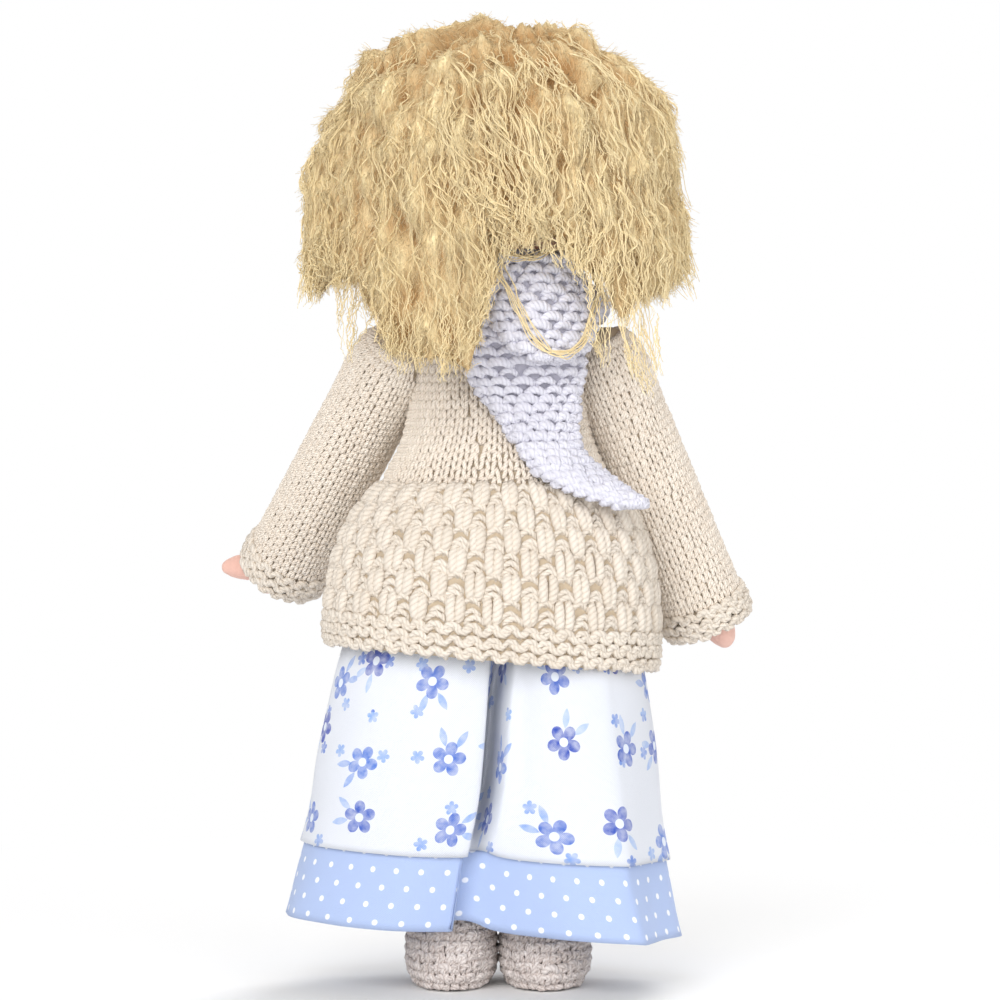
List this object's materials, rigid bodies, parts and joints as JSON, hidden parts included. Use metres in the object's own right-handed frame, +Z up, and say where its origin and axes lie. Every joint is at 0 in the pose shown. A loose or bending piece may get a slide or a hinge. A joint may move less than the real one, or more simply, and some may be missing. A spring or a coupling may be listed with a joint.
{
  "type": "rag doll",
  "caption": "Stuffed cloth doll with yarn hair, knitted sweater and scarf, printed skirt with a dotted hem band and crocheted boots; head turns, arms and legs swing.",
  "frame": {"origin": "on the floor under the middle of the doll's box, between the boots", "axes": "+Z up, +Y out of the doll's back, +X to the doll's left"},
  "size_m": [0.1619, 0.1215, 0.3],
  "materials": {
    "skin": "matte woven cotton",
    "stuffing": "loose fibre",
    "wood": "bare",
    "thread": "waxed thread",
    "button": "gloss",
    "eye": "gloss",
    "wig_cap": "matte knit",
    "hair": "fluffy yarn",
    "sweater": "knitted yarn",
    "sweater_trim": "knitted yarn, textured",
    "white_cotton": "printed twill",
    "blue_cotton": "printed cotton",
    "scarf": "chunky knit",
    "boot": "crochet",
    "card": "pressed card"
  },
  "bodies": {
    "torso": {"torso_skin": "skin", "torso_stuffing": "stuffing", "neck_dowel": "wood", "shoulder_thread": "thread", "hip_thread": "thread", "sweater_body": "sweater", "sweater_hem_band": "sweater_trim", "sweater_neckband": "sweater_trim", "skirt_waistband": "white_cotton", "skirt_body": "white_cotton", "skirt_hem_band": "blue_cotton", "scarf_turn": "scarf", "scarf_tail": "scarf", "scarf_flap": "scarf"},
    "head": {"head_skin": "skin", "head_stuffing": "stuffing", "wig_cap": "wig_cap", "eye_left": "eye", "eye_right": "eye", "hair_crown": "hair", "hair_fringe": "hair", "hair_side_left": "hair", "hair_back_left": "hair", "hair_back_right": "hair", "hair_side_right": "hair"},
    "arm_left": {"arm_left_skin": "skin", "arm_left_stuffing": "stuffing", "sweater_sleeve_left": "sweater", "sweater_cuff_left": "sweater_trim", "shoulder_button_left": "button"},
    "arm_right": {"arm_right_skin": "skin", "arm_right_stuffing": "stuffing", "sweater_sleeve_right": "sweater", "sweater_cuff_right": "sweater_trim", "shoulder_button_right": "button"},
    "leg_left": {"leg_left_skin": "skin", "leg_left_stuffing": "stuffing", "boot_left": "boot", "insole_left": "card", "hip_button_left": "button"},
    "leg_right": {"leg_right_skin": "skin", "leg_right_stuffing": "stuffing", "boot_right": "boot", "insole_right": "card", "hip_button_right": "button"}
  },
  "joints": [
    {"name": "head_turn", "type": "hinge", "parent": "torso", "child": "head", "pos_m": [0, 0, 0.2125], "axis": [0, 0, 1], "range_deg": [-20, 20]},
    {"name": "shoulder_left", "type": "hinge", "parent": "torso", "child": "arm_left", "pos_m": [0.0332, 0, 0.193], "axis": [-1, 0, 0], "range_deg": [-20, 42]},
    {"name": "shoulder_right", "type": "hinge", "parent": "torso", "child": "arm_right", "pos_m": [-0.0332, 0, 0.193], "axis": [-1, 0, 0], "range_deg": [-1, 64]},
    {"name": "hip_left", "type": "hinge", "parent": "torso", "child": "leg_left", "pos_m": [0.0146, 0, 0.1], "axis": [-1, 0, 0], "range_deg": [-3, 6]},
    {"name": "hip_right", "type": "hinge", "parent": "torso", "child": "leg_right", "pos_m": [-0.0146, 0, 0.1], "axis": [-1, 0, 0], "range_deg": [-3, 6]}
  ]
}
